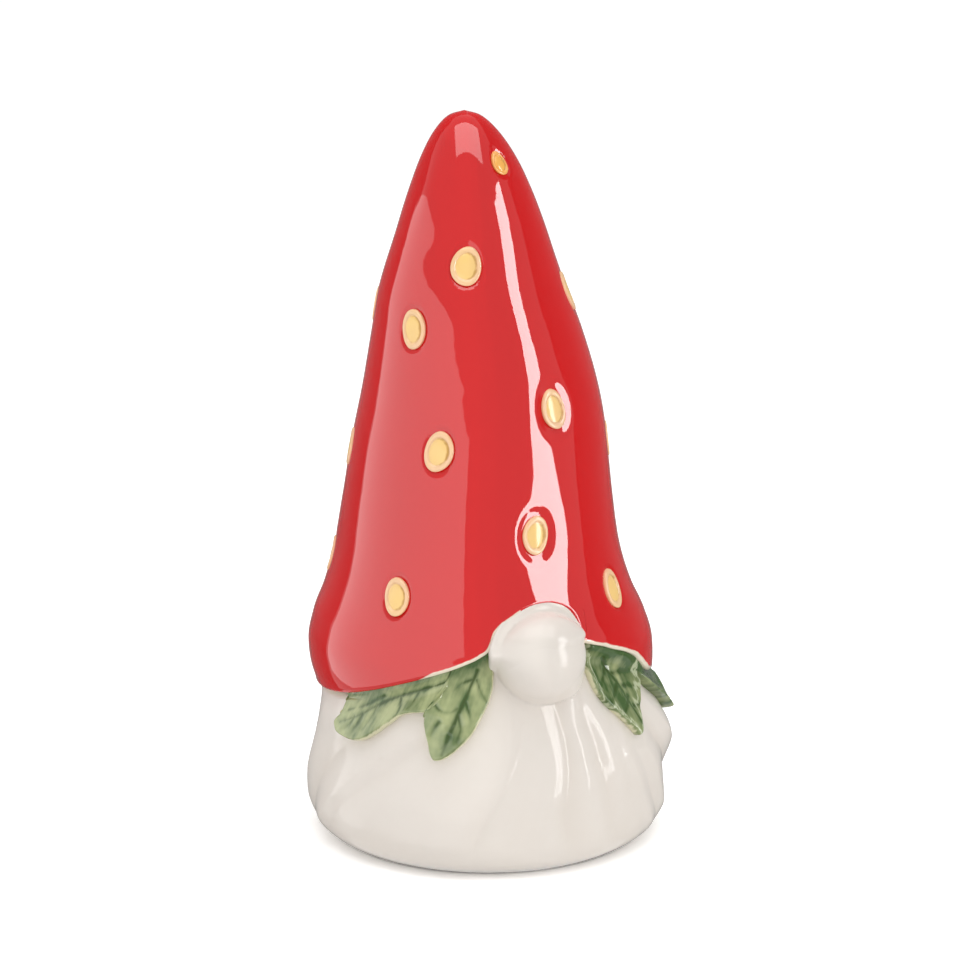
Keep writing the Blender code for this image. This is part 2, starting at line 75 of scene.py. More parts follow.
# Edge of the brim once round, with its arch over the nose: (azimuth, height in mm)
BRIM_LINE = (
    (-180, 39.0), (-150, 39.2), (-120, 40.6), (-103, 42.1), (-86, 43.6), (-75, 45.2), (-61, 48.2),
    (-49, 51.2), (-38, 54.0), (-28, 56.7), (-21.5, 58.9), (-18.2, 60.6), (-17.0, 62.4), (-15.7, 64.6),
    (-13.6, 66.5), (-9.4, 68.5), (-3.4, 70.7), (2, 71.5), (7.6, 71.2), (12, 69.9), (14.9, 67.8),
    (15.5, 65.6), (15.3, 63.4), (16.2, 61.2), (20, 59.9), (25.6, 58.6), (30.2, 57.2), (36.2, 55.6),
    (42.5, 53.2), (47.4, 50.4), (52, 47.9), (59, 45.7), (68, 44.3), (86, 43.1), (103, 42.0), (120, 40.6),
    (150, 39.2), (180, 39.0),
)
# Seeds: (azimuth, share of the hat's height, share of the full seed size)
SEEDS = (
    (17, 0.913, 0.62), (-25, 0.745, 1.05), (-58, 0.637, 1.00), (-40, 0.437, 1.04), (15, 0.502, 1.00),
    (3, 0.294, 0.98), (-53, 0.190, 0.98), (40, 0.180, 1.00), (-108, 0.410, 1.00), (64, 0.686, 1.00),
    (70, 0.420, 1.00), (88, 0.205, 1.00), (-112, 0.215, 1.00), (-118, 0.660, 0.95),
    (118, 0.560, 1.00), (138, 0.300, 1.04), (178, 0.200, 1.00), (-158, 0.440, 1.00),
    (165, 0.740, 0.92),
)
SEED_WIDTH = 0.0076
SEED_LENGTH = 0.0104
# A dimple begins and ends at these distances from its seed's middle, in half sizes of the seed. Round
# all but the seeds whose numbers are in WIDE_DIMPLES it is NARROWING times narrower
DIMPLE_DEPTH = 0.0007
DIMPLE_START = 0.95
DIMPLE_END = 1.75
WIDE_DIMPLES = (5, 6)
NARROWING = 2.6
# Soft lumps left by the hand-finished mould: (azimuth, height, half width, half height, rise), in mm
HAT_LUMPS = (
    (4, 137, 5, 22, 0.25), (8, 87, 8, 14, -0.9), (11, 64, 9, 7, -0.3), (-62, 178, 3, 9, 0.5),
    (-50, 170, 3, 7, 0.3), (-70, 130, 12, 16, 0.2), (-95, 80, 14, 12, -0.4), (60, 150, 10, 12, 0.4),
    (95, 110, 14, 16, -0.4), (150, 130, 14, 16, 0.5), (-150, 95, 14, 14, 0.4), (-22, 56, 38, 11, -2.0),
    (-35, 61.3, 30, 6, -0.5), (14, 118, 8, 9, -0.35),
)
RED_DEEP = (0.56, 0.005, 0.007)
RED_THIN = (0.63, 0.009, 0.009)
BARE_CREAM = (0.84, 0.74, 0.60, 1)
# Distances from the edge at which the bare line along the brim begins to fade and is gone, and the
# one given to points that the line never reaches
BARE_LINE = (0.0008, 0.0012)
FAR_FROM_BRIM = 0.05
# The red glaze runs over that line between these azimuths above this height, and past these on the
# right, in degrees and metres
GLAZED_ARCH = (-5, 15.9)
GLAZED_ABOVE = 0.0615
GLAZED_RIGHT = (36, 46)


def cubic(start, leaving, end, arriving, t):
    """Cubic from start to end as t goes from 0 to 1, with the slope that it has at either end."""
    first = (1 + 2 * t) * (1 - t) ** 2 * start + t * (1 - t) ** 2 * leaving
    return first + t**2 * (3 - 2 * t) * end + t**2 * (t - 1) * arriving


def curve_through(points, knots, at):
    """Smooth curve through points: cubic pieces whose slopes are the mean slope of their neighbours."""
    points = np.array(points, float)
    slopes = np.gradient(points, knots, axis=0)
    i = np.clip(np.searchsorted(knots, at, side="right") - 1, 0, len(knots) - 2)
    step = (knots[i + 1] - knots[i])[..., None]
    t = (at - knots[i])[..., None] / step
    return cubic(points[i], step * slopes[i], points[i + 1], step * slopes[i + 1], t)


def by_length(points):
    """Knots that space points by the length of the line through them, from 0 to 1."""
    run = np.linalg.norm(np.diff(np.array(points, float), axis=0), axis=1)
    return np.concatenate([[0.0], np.cumsum(run)]) / run.sum()


def smoothstep(low, high, x):
    """0 below low, 1 above high, and 3t^2 - 2t^3 between them."""
    t = np.clip((x - low) / (high - low), 0.0, 1.0)
    return t * t * (3 - 2 * t)


HAT_HEIGHT = HAT_TOP - BRIM_SIDE
STEPS = np.linspace(0.0, 1.0, 600)
rises, widths = curve_through(HAT_OUTLINE, by_length(HAT_OUTLINE), STEPS).T
# The heights never fall, so that the radius can be read off by height
OUTLINE = np.stack([BRIM_SIDE + HAT_HEIGHT * np.maximum.accumulate(rises), HAT_RADIUS * widths], axis=1)
OUTLINE_SLOPE = np.gradient(OUTLINE[:, 1], OUTLINE[:, 0] + STEPS * 1e-9)
CENTRES = curve_through(HAT_CENTRES, np.array(HAT_CENTRES)[:, 0], STEPS)
CENTRES *= (HAT_TOP, HAT_LEAN_BACK, HAT_SWAY)


def hat_radius(height):
    """Outer skin of the hat: the outline's radius at that height."""
    return np.interp(height, OUTLINE[:, 0], OUTLINE[:, 1])


def lining_radius(height):
    """Inner skin: one wall inside the outer skin, measured square to it."""
    slope = np.interp(height, OUTLINE[:, 0], OUTLINE_SLOPE)
    return hat_radius(height) - HAT_WALL * np.sqrt(1 + np.clip(slope, -1.0, 1.0) ** 2)


def place(azimuth, radius, height):
    """Point at an azimuth, a distance from the leaning centre line and a height."""
    back = np.interp(height, CENTRES[:, 0], CENTRES[:, 1])
    side = np.interp(height, CENTRES[:, 0], CENTRES[:, 2])
    return np.stack(
        [side + radius * np.sin(azimuth), back - radius * np.cos(azimuth), height + 0 * radius], axis=-1
    )


def wrapped(angle):
    """The same angle between minus and plus half a turn."""
    return (angle + np.pi) % (2 * np.pi) - np.pi


def seed_span(azimuth, height):
    """Distance from the nearest seed's middle over the skin, in half sizes of that seed: the root of
    (sideways / half width)^2 + (up the slope / half length)^2. Past DIMPLE_START it grows faster
    round a seed whose dimple is narrow."""
    near = np.full(np.shape(azimuth), np.inf)
    for number, (seed_azimuth, share, size) in enumerate(SEEDS, start=1):
        level = BRIM_SIDE + share * HAT_HEIGHT
        slope = np.interp(level, OUTLINE[:, 0], OUTLINE_SLOPE)
        across = hat_radius(level) * wrapped(azimuth - math.radians(seed_azimuth))
        along = (height - level) * math.sqrt(1 + slope**2)
        span = np.hypot(across / (SEED_WIDTH / 2 * size), along / (SEED_LENGTH / 2 * size))
        narrow = DIMPLE_START + (span - DIMPLE_START) * NARROWING
        near = np.minimum(near, span if number in WIDE_DIMPLES else narrow)
    return near


def hat_relief(azimuth, height, dimples=True):
    """What lies over the hat's plain outline: bell-shaped lumps, less a dimple round each seed."""
    relief = 0 * azimuth
    for middle, level, wide, tall, rise in HAT_LUMPS:
        across = hat_radius(level / 1000) * wrapped(azimuth - math.radians(middle))
        bell = np.exp(-((across / wide * 1000) ** 2) - ((height * 1000 - level) / tall) ** 2)
        relief = relief + rise / 1000 * bell
    if not dimples:
        return relief
    return relief - DIMPLE_DEPTH * (1 - smoothstep(DIMPLE_START, DIMPLE_END, seed_span(azimuth, height)))


def hat_grid(columns=440):
    """The hat as columns of points from the tip down the outside, round the lip and up the lining.
    A column leaves the brim square to its edge and bends to run straight up from JOIN_HEIGHT: a
    cubic between the two points in azimuth and height. The lip is a quarter circle, then flat.
    Returns the grid, its two poles and each point's distance from the brim's edge."""
    around = 2 * math.pi * FLAT_RADIUS
    line = np.array(BRIM_LINE, float) * (around / 360, 0.001)
    padded = np.concatenate([line[-4:-1] - (around, 0), line, line[1:4] + (around, 0)])
    knots = by_length(padded)
    turn = np.arange(columns) / columns
    close = np.linspace(knots[3], knots[-4], 4000)
    even = np.interp(turn, by_length(curve_through(padded, knots, close)), close)
    edge = curve_through(padded, knots, even)
    ahead = curve_through(padded, knots, even + 0.002) - curve_through(padded, knots, even - 0.002)
    ahead /= np.linalg.norm(ahead, axis=1)[:, None]
    inward = np.stack([-ahead[:, 1], ahead[:, 0]], axis=1)
    start = edge + inward * LIP_ROUND
    join = np.stack([(turn - 0.5) * around, 0 * turn + JOIN_HEIGHT], axis=1)
    up = np.array([0.0, 3 * BRIM_PULL])

    def fan(t):
        """Points of every column, from the lip at 0 to JOIN_HEIGHT at 1."""
        return cubic(start[:, None], BRIM_PULL * inward[:, None], join[:, None], up, t)

    straight = join[:, :1] / FLAT_RADIUS
    run = by_length(OUTLINE)
    shares = np.linspace(1.0, np.interp(JOIN_HEIGHT, OUTLINE[:, 0], run), 118)[None, 1:-1]
    upper = np.interp(shares, run, OUTLINE[:, 0]) + 0 * straight
    lower = fan(np.linspace(1.0, 0.0, 62)[None, :, None] ** 1.15)
    azimuth = np.concatenate([straight + 0 * upper, lower[..., 0] / FLAT_RADIUS], axis=1)
    height = np.concatenate([upper, lower[..., 1]], axis=1)
    outer = place(azimuth, hat_radius(height) + hat_relief(azimuth, height), height)
    # The lip and its flat underside
    roll = np.radians([15, 30, 45, 60, 75, 90])[None, :]
    reach = LIP_ROUND * (1 - np.sin(roll)) + 0 * straight
    rolled = edge[:, None] + inward[:, None] * reach[..., None]
    lip_azimuth, lip_height = rolled[..., 0] / FLAT_RADIUS, rolled[..., 1]
    radius = hat_radius(lip_height) + hat_relief(lip_azimuth, lip_height) - LIP_ROUND * (1 - np.cos(roll))
    lip = place(lip_azimuth, radius, lip_height)
    inwards = (lining_radius(edge[:, 1:]) - radius[:, -1:]) * np.array([0.35, 0.7, 1.0])
    under = place(edge[:, :1] / FLAT_RADIUS, radius[:, -1:] + inwards, edge[:, 1:])
    # The lining, which ends in a pole 2 walls below the tip
    low = fan(np.linspace(0.0, 1.0, 9)[None, 1:, None])
    inside_low = place(low[..., 0] / FLAT_RADIUS, lining_radius(low[..., 1]), low[..., 1])
    top = HAT_TOP - 2.4 * HAT_WALL
    level = np.linspace(JOIN_HEIGHT, top, 14)[None, 1:] + 0 * straight
    inside_high = place(straight, lining_radius(level), level)
    grid = np.concatenate([outer, lip, under, inside_low, inside_high], axis=1)
    poles = place(np.zeros(2), np.zeros(2), np.array([HAT_TOP, top + 0.4 * HAT_WALL]))
    # The distance is larger where the red glaze runs over the bare line
    away = np.linalg.norm(lower - edge[:, None], axis=2)
    inside = np.zeros((columns, grid.shape[1] - height.shape[1] - reach.shape[1]))
    brim = np.concatenate([0 * upper + FAR_FROM_BRIM, away, reach, inside], axis=1)
    bearing = np.degrees(wrapped(edge[:, :1] / FLAT_RADIUS))
    arch = (bearing > GLAZED_ARCH[0]) & (bearing < GLAZED_ARCH[1]) & (edge[:, 1:] > GLAZED_ABOVE)
    brim += 0.02 * arch
    brim += 0.0014 * smoothstep(*GLAZED_RIGHT, -bearing) * (brim > 0)
    return grid, poles, np.append(brim, [FAR_FROM_BRIM, FAR_FROM_BRIM])


def ring_cells(columns, rows, wrap_rows=False):
    """Corners of each cell of a grid whose columns close into a ring, seen from outside."""
    c, r = np.meshgrid(np.arange(columns), np.arange(rows if wrap_rows else rows - 1), indexing="ij")
    beside, below = (c + 1) % columns, (r + 1) % rows
    corners = [c * rows + r, c * rows + below, beside * rows + below, beside * rows + r]
    return np.stack(corners, axis=-1).reshape(-1, 4).tolist()


def cap_cells(pole, ring):
    """Triangles from one pole to a ring of points."""
    return np.stack([np.full(len(ring), pole), ring, np.roll(ring, -1)], axis=1).tolist()


def new_piece(name, points, cells, glaze, values=None):
    """One smooth mesh object at the origin, with a number at each point for each named value."""
    mesh = bpy.data.meshes.new(name)
    mesh.from_pydata(points.reshape(-1, 3).tolist(), [], cells)
    mesh.shade_smooth()
    mesh.materials.append(glaze)
    for label, numbers in (values or {}).items():
        mesh.attributes.new(label, "FLOAT", "POINT").data.foreach_set("value", np.ravel(numbers))
    piece = bpy.data.objects.new(name, mesh)
    bpy.context.scene.collection.objects.link(piece)
    return piece


def closed_cells(columns, rows):
    """Cells of a ring of columns whose two ends each close to a pole, kept after the grid's points."""
    first = np.arange(columns) * rows
    caps = cap_cells(columns * rows, first) + cap_cells(columns * rows + 1, first[::-1] + rows - 1)
    return ring_cells(columns, rows) + caps


def closed_piece(name, grid, poles, glaze, values=None):
    """A piece made of such a ring of columns and of its two poles."""
    points = np.concatenate([grid.reshape(-1, 3), poles])
    return new_piece(name, points, closed_cells(*grid.shape[:2]), glaze, values)


def node(tree, kind, inputs=None, **settings):
    """One shader node with its settings and inputs; an input is a socket to link or a value."""
    made = tree.nodes.new(kind)
    for key, value in settings.items():
        setattr(made, key, value)
    for key, value in (inputs or {}).items():
        if isinstance(value, bpy.types.NodeSocket):
            tree.links.new(value, made.inputs[key])
        else:
            made.inputs[key].default_value = value
    return made


def maths(tree, operation, a, b=0.0, c=0.0, clamp=False):
    """Output of one Math node."""
    made = node(tree, "ShaderNodeMath", {0: a, 1: b, 2: c}, operation=operation, use_clamp=clamp)
    return made.outputs[0]


def blend_colour(tree, factor, a, b):
    """Colour a where factor is 0 and colour b where it is 1."""
    made = node(tree, "ShaderNodeMix", {0: factor, 6: a, 7: b}, data_type="RGBA")
    return made.outputs[2]


def ramp(tree, value, low, high, to_low=0.0, to_high=1.0):
    """Smooth step of a value from one range to another."""
    made = node(
        tree,
        "ShaderNodeMapRange",
        {"Value": value, "From Min": low, "From Max": high, "To Min": to_low, "To Max": to_high},
        interpolation_type="SMOOTHSTEP",
    )
    return made.outputs["Result"]


def plus(tree, base, value, amount):
    """base + value * amount."""
    return maths(tree, "MULTIPLY_ADD", value, amount, base)


def noise(tree, scale, detail=2.0, roughness=0.5, spot=None):
    """Fractal noise with scale in cells per metre, over the piece's own coordinates or a given spot."""
    if spot is None:
        spot = node(tree, "ShaderNodeTexCoord").outputs["Object"]
    settings = {"Vector": spot, "Scale": scale, "Detail": detail, "Roughness": roughness}
    return node(tree, "ShaderNodeTexNoise", settings).outputs["Fac"]


def swing(tree, *settings):
    """Fractal noise less a half, so that it swings about zero."""
    return maths(tree, "SUBTRACT", noise(tree, *settings), 0.5)


def make_glaze_group():
    """Fired glaze: it is deeper where it pooled and paler where it ran thin, its skin has soft
    orange-peel waves, and a few pinholes are left where gas came out."""
    group = bpy.data.node_groups.new("fired_glaze", "ShaderNodeTree")
    for label in ("Deep", "Thin"):
        group.interface.new_socket(label, in_out="INPUT", socket_type="NodeSocketColor")
    for label in ("Thinness", "Mottle", "Softness"):
        group.interface.new_socket(label, in_out="INPUT", socket_type="NodeSocketFloat")
    for label, kind in (("Colour", "Color"), ("Roughness", "Float"), ("Height", "Float")):
        group.interface.new_socket(label, in_out="OUTPUT", socket_type="NodeSocket" + kind)
    given = group.nodes.new("NodeGroupInput").outputs
    cloud = noise(group, 70.0, 3.0, 0.55)
    patch = maths(group, "MULTIPLY", maths(group, "SUBTRACT", cloud, 0.5), given["Mottle"])
    patch = plus(group, patch, swing(group, 520.0, 2.0, 0.6), 0.12)
    thin = maths(group, "ADD", given["Thinness"], patch, clamp=True)
    colour = blend_colour(group, thin, given["Deep"], given["Thin"])
    spot = node(group, "ShaderNodeTexCoord").outputs["Object"]
    cells = node(group, "ShaderNodeTexVoronoi", {"Vector": spot, "Scale": 230.0}).outputs
    lot = node(group, "ShaderNodeSeparateColor", {0: cells["Color"]}).outputs[0]
    pit = ramp(group, cells["Distance"], 0.020, 0.045, 1.0, 0.0)
    pit = maths(group, "MULTIPLY", pit, ramp(group, lot, 0.955, 0.96))
    rough = plus(group, plus(group, given["Softness"], cloud, 0.03), pit, 0.3)
    height = plus(group, noise(group, 150.0, 1.0, 0.4), pit, -0.6)
    out = group.nodes.new("NodeGroupOutput")
    group.links.new(colour, out.inputs["Colour"])
    group.links.new(rough, out.inputs["Roughness"])
    group.links.new(height, out.inputs["Height"])
    return group


GLAZE = make_glaze_group()


def new_glaze(name, deep, thin, mottle, wave=0.00005, softness=0.02, shine=0.5):
    """Glossy material with the fired glaze in it. Returns it, its tree, the glaze node and the shader."""
    made = bpy.data.materials.new(name)
    made.use_nodes = True
    tree = made.node_tree
    shader = tree.nodes["Principled BSDF"]
    glaze = tree.nodes.new("ShaderNodeGroup")
    glaze.node_tree = GLAZE
    glaze.inputs["Deep"].default_value = (*deep, 1)
    glaze.inputs["Thin"].default_value = (*thin, 1)
    glaze.inputs["Thinness"].default_value = 0.5
    glaze.inputs["Mottle"].default_value = mottle
    glaze.inputs["Softness"].default_value = softness
    shader.inputs["Specular IOR Level"].default_value = shine
    shader.inputs["IOR"].default_value = 1.45
    tree.links.new(glaze.outputs["Colour"], shader.inputs["Base Color"])
    tree.links.new(glaze.outputs["Roughness"], shader.inputs["Roughness"])
    bump = node(tree, "ShaderNodeBump", {"Height": glaze.outputs["Height"], "Distance": wave})
    tree.links.new(bump.outputs["Normal"], shader.inputs["Normal"])
    return made, tree, glaze, shader


def attribute(tree, label):
    """The number stored at each point of the piece under that name."""
    return node(tree, "ShaderNodeAttribute", attribute_name=label).outputs["Fac"]


hat_glaze, tree, glaze, shader = new_glaze("strawberry_red_glaze", RED_DEEP, RED_THIN, mottle=0.4)
ragged = plus(tree, attribute(tree, "brim"), swing(tree, 260.0), 0.0009)
bare = ramp(tree, ragged, *BARE_LINE, 1.0, 0.0)
colour = blend_colour(tree, bare, glaze.outputs["Colour"], BARE_CREAM)
tree.links.new(colour, shader.inputs["Base Color"])

grid, poles, brim = hat_grid()
hat = closed_piece("strawberry_hat", grid, poles, hat_glaze, {"brim": brim})
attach(hat, "root")
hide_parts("hat")


# Beard. The hollow casting that is also the body: a belly with folds that fan out from under the
# nose, a neck inside the hat, and a ring foot with a vent in its floor. Dipped in cream-white glaze.

FOOT_RADIUS = 0.0420
BELLY_RADIUS = 0.0494
BELLY_HEIGHT = 0.0160
CHEST_RADIUS = 0.0375
BODY_WALL = 0.0045
FOOT_RING_WIDTH = 0.0080
FOOT_RECESS = 0.0020
FLOOR_THICKNESS = 0.0045
VENT_RADIUS = 0.0050
NECK_SEAT = 0.0665
NECK_TOP = 0.0825
LEAF_LAYER = 0.0030
NOSE_RADIUS = 0.0121
NOSE_CENTRE = np.array((0.0, -0.0377, 0.0578))
NOSE_ROOT_RISE = 0.0030
# The arch over the nose is filled by a dome, within an oval of these half sizes. It sinks DOME_SINK
# below the hat's skin at the oval's edge and rises by DOME_RISE in its middle
ARCH_MIDDLE = 0.0580
ARCH_HALF_HEIGHT = 0.0140
ARCH_HALF_TURN = 0.292
DOME_SINK = 0.0008
DOME_RISE = 0.0011
# The skin stays this far inside the ball, so that only the nose itself shows there
NOSE_CLEARANCE = 0.00006
CREAM_DEEP = (0.70, 0.635, 0.565)
CREAM_THIN = (0.79, 0.74, 0.685)
# Crests and valleys of the folds, from the right round to the left: azimuth at each of FOLD_LEVELS,
# then the height over the plain outline in mm there
FOLD_LEVELS = (0.042, 0.030, 0.017, 0.005)
FOLD_LINES = (
    ((-127, -127, -127, -127), (-1.0, -1.1, -1.1, -0.9)),
    ((-90, -104, -109, -112), (0.7, 0.9, 0.9, 0.7)),
    ((-60, -80, -93, -101), (-0.5, -0.6, -0.6, -0.4)),
    ((-36, -60, -79, -94), (0.3, 0.5, 0.6, 0.5)),
    ((-31, -53, -72, -86), (-0.2, -0.2, -0.2, -0.2)),
    ((-26, -42, -58, -70), (0.2, 0.4, 0.4, 0.3)),
    ((-22, -33, -47, -58), (0.0, 0.0, 0.0, 0.0)),
    ((-8.3, -16.5, -22.5, -28.5), (0.15, 0.8, 1.0, 0.8)),
    ((-7.3, -15.2, -21.1, -26.9), (0.05, 0.3, 0.45, 0.4)),
    ((-5, -9.5, -12.5, -15), (0.0, 0.05, -0.05, -0.1)),
    ((-1.5, -2.0, -3.4, -4), (0.1, 0.15, 0.2, 0.2)),
    ((2.6, 0.9, 0.5, 2.5), (-0.25, -0.2, -0.25, -0.2)),
    ((4.2, 2.6, 2.4, 4.5), (-0.55, -0.75, -0.75, -0.5)),
    ((8.7, 8.4, 12.5, 17), (0.0, 0.15, 0.1, 0.1)),
    ((14, 14.5, 19.5, 25), (-0.45, -0.7, -0.4, -0.3)),
    ((17, 18.5, 25, 32.5), (0.15, 0.2, 0.0, 0.0)),
    ((21.5, 21.2, 28.5, 36.5), (0.55, 0.4, 0.15, 0.2)),
    ((23, 23.4, 32, 41), (0.5, 0.4, 0.15, 0.2)),
    ((26, 26.0, 36, 46), (0.7, 0.9, 0.6, 0.5)),
    ((29, 31, 42, 53), (0.3, 0.2, -0.2, -0.3)),
    ((32, 36, 50, 63), (0.5, 0.7, 0.7, 0.7)),
    ((37, 46, 66, 79), (-0.5, -0.8, -0.9, -0.9)),
    ((46, 58, 81, 93), (0.6, 1.4, 1.5, 1.0)),
    ((64, 82, 98, 108), (-0.8, -1.0, -1.0, -0.9)),
    ((90, 104, 116, 124), (0.8, 1.0, 1.1, 0.9)),
    ((120, 130, 137, 141), (-0.8, -1.1, -1.1, -0.9)),
    ((142, 148, 153, 156), (0.8, 1.1, 1.1, 0.9)),
    ((168, 170, 171, 172), (-0.8, -1.1, -1.1, -0.9)),
    ((187, 187, 187, 187), (0.8, 1.1, 1.1, 0.9)),
    ((203, 203, 203, 203), (-0.8, -1.1, -1.1, -0.9)),
    ((218, 218, 218, 218), (0.8, 1.1, 1.1, 0.9)),
)
FOLD_CRISPNESS = 0.55
FILLET = 0.0045


def brim_wave(azimuth):
    """Height of the brim without its arch: a squared cosine at the front and a smooth drop behind."""
    rise = BRIM_FRONT_RISE * np.maximum(np.cos(azimuth), 0.0) ** 2
    return BRIM_SIDE + rise - BRIM_BACK_DROP * smoothstep(-0.17, 0.87, -np.cos(azimuth))


def beard_outline(height):
    """Radius of the beard without folds: a power curve in to the foot and one up to the chest."""
    below = np.clip(height / BELLY_HEIGHT, 0.0, 1.0)
    above = np.clip((height - BELLY_HEIGHT) / (NOSE_CENTRE[2] - BELLY_HEIGHT), 0.0, 1.0)
    foot = (BELLY_RADIUS - FOOT_RADIUS) * (1 - below) ** 4.5
    return BELLY_RADIUS - foot - (BELLY_RADIUS - CHEST_RADIUS) * above**2.1


def fold_height(azimuth, height):
    """Folds: between two neighbouring lines the height goes from one line's to the other's, part
    straight and part as a cubic. They fade out at the foot, under the brim and at the nose."""
    azimuth, height = np.broadcast_arrays(wrapped(azimuth), height)
    lines = np.radians([line[0] for line in FOLD_LINES]).T[::-1]
    lines = np.concatenate([lines[:, -2:] - 2 * np.pi, lines, lines[:, :2] + 2 * np.pi], axis=1)
    rises = np.array([line[1] for line in FOLD_LINES]).T[::-1]
    rises = np.concatenate([rises[:, -2:], rises, rises[:, :2]], axis=1)
    slopes = np.stack([np.gradient(rise, line) for rise, line in zip(rises, lines)])
    share = np.clip(np.interp(height, FOLD_LEVELS[::-1], np.arange(4.0)), 0, 2.999)
    low, part = share.astype(int), share % 1.0

    def at_height(table, number):
        return table[low, number] * (1 - part) + table[low + 1, number] * part

    found = 0 * azimuth
    for number in range(lines.shape[1] - 1):
        start, end = at_height(lines, number), at_height(lines, number + 1)
        a, b = at_height(rises, number), at_height(rises, number + 1)
        run = end - start
        t = np.clip((azimuth - start) / run, 0.0, 1.0)
        soft = cubic(a, run * at_height(slopes, number), b, run * at_height(slopes, number + 1), t)
        mixed = FOLD_CRISPNESS * (a + (b - a) * t) + (1 - FOLD_CRISPNESS) * soft
        found = np.where((azimuth >= start) & (azimuth < end), mixed, found)
    edge = brim_wave(azimuth)
    fade = smoothstep(0.0, 0.010, height) * (1 - smoothstep(edge - 0.008, edge, height))
    return found * 0.001 * fade


def beard_radius(azimuth, height, folds=True):
    """Outer skin of the beard, from the foot to the top of the neck inside the hat."""
    outside = beard_outline(height)
    if folds:
        outside = outside + fold_height(azimuth, height)
    layer = LEAF_LAYER + (0.0004 - LEAF_LAYER) * smoothstep(NECK_SEAT - 0.003, NECK_SEAT, height)
    inside = lining_radius(height) - layer
    edge = brim_wave(azimuth)
    under = smoothstep(edge - 0.0020, edge + 0.0015, height)
    return outside * (1 - under) + np.minimum(outside, inside) * under


def ball_front(azimuth, height, centre, radius):
    """Distance from the centre line to the front of a ball along each azimuth: the larger root of the
    sphere's equation, running steeply inwards where the line misses the ball."""
    back = np.interp(height, CENTRES[:, 0], CENTRES[:, 1]) - centre[1]
    side = np.interp(height, CENTRES[:, 0], CENTRES[:, 2]) - centre[0]
    half = side * np.sin(azimuth) - back * np.cos(azimuth)
    inside = half**2 - (side**2 + back**2 + (height - centre[2]) ** 2 - radius**2)
    return -half + np.sqrt(np.maximum(inside, 0)) - 3 * np.sqrt(np.maximum(-inside, 0))


def joined(a, b, reach):
    """Smooth maximum: the larger of two radii, raised where they differ by less than reach."""
    return np.maximum(a, b) + np.maximum(reach - np.abs(a - b), 0) ** 2 / (4 * reach)


def skin_radius(azimuth, height, arch=True):
    """Skin of the beard with the clay and glaze round the nose: a dome under the arch of the brim, a
    bell-shaped rise below it on the left, and a soft fillet round the ball."""
    azimuth = wrapped(azimuth)
    plain = beard_radius(azimuth, height, folds=False)
    gap = plain - ball_front(azimuth, height, NOSE_CENTRE, NOSE_RADIUS)
    radius = plain + (beard_radius(azimuth, height) - plain) * smoothstep(0.0, 0.010, gap)
    if arch:
        span = ((azimuth + 0.012) / ARCH_HALF_TURN) ** 2
        span += ((height - ARCH_MIDDLE - 0.007 * azimuth) / ARCH_HALF_HEIGHT) ** 2
        # The dome fades out beyond its oval, at the arch's right foot and below the brim's edge
        left = smoothstep(-0.10, 0.10, azimuth)
        bed = (1 - smoothstep(1.25, 1.4, span)) * smoothstep(-0.335, -0.315, azimuth)
        bed *= smoothstep(0.0525 + 0.0075 * left, 0.0605 + 0.0040 * left, height)
        dome = hat_radius(height) - DOME_SINK + DOME_RISE * np.sqrt(np.maximum(1 - span, 0))
        radius += np.maximum(dome - radius, 0) * bed
    radius += NOSE_ROOT_RISE * np.exp(-(((azimuth - 0.20) / 0.10) ** 2) - ((height - 0.0500) / 0.0060) ** 2)
    ball = ball_front(azimuth, height, NOSE_CENTRE, NOSE_RADIUS) - NOSE_CLEARANCE
    reach = FILLET * (1 + smoothstep(-0.1, 0.2, azimuth) + smoothstep(0.060, 0.066, height))
    return joined(radius, ball, reach)


def beard_grid(columns=440):
    """The beard as columns of points from the neck down the outside, under the foot, through the
    vent and up the inside. Columns lie closest together at the front: turn - 0.33 sin(turn)."""
    turn = np.arange(columns) * 2 * np.pi / columns
    around = (turn - 0.33 * np.sin(turn))[:, None]
    # Rows up to the brim, close together where the skin steps in under it, and on up the neck
    edge = brim_wave(around)
    below, above = edge - 0.0025, edge + 0.0020
    heights = [
        below * np.linspace(0.0, 1.0, 128)[None, :] ** 1.12,
        below + (above - below) * np.linspace(0, 1, 11)[None, 1:],
        above + (NECK_SEAT + 0.0065 - edge) * np.linspace(0, 1, 37)[None, 1:],
        NECK_TOP + np.array([-0.004, 0.0])[None, :] + 0 * edge,
    ]
    height = np.concatenate(heights, axis=1)[:, ::-1]
    outer = place(around, skin_radius(around + 0 * height, height), height)
    ring_in, floor_top = FOOT_RADIUS - FOOT_RING_WIDTH, FOOT_RECESS + FLOOR_THICKNESS
    base = [
        (ring_in + 0.004, 0), (ring_in, 0), (ring_in - 0.0004, FOOT_RECESS), (ring_in / 2, FOOT_RECESS),
        (VENT_RADIUS, FOOT_RECESS), (VENT_RADIUS, floor_top),
    ]
    base_radius, base_height = np.array(base).T[:, None]
    inner = floor_top + (NECK_TOP - floor_top) * np.linspace(0.0, 1.0, 13)[None, :] + 0 * around
    inner_radius = beard_radius(around, inner, folds=False) - BODY_WALL
    # The casting's inside corner at the floor is bevelled
    inner_radius[:, 0] = inner_radius[:, 1] - 0.0045
    under = place(around, base_radius + 0 * around, base_height)
    grid = np.concatenate([outer, under, place(around, inner_radius, inner)], axis=1)
    valley = np.zeros(grid.shape[:2])
    valley[:, : height.shape[1]] = np.clip(-fold_height(around, height) / 0.001, 0.0, 1.0)
    return grid, valley


cream_glaze, tree, glaze, _ = new_glaze(
    "cream_white_glaze", CREAM_DEEP, CREAM_THIN, mottle=0.35, softness=0.07, shine=0.13
)
tree.links.new(plus(tree, 0.72, attribute(tree, "valley"), -0.45), glaze.inputs["Thinness"])

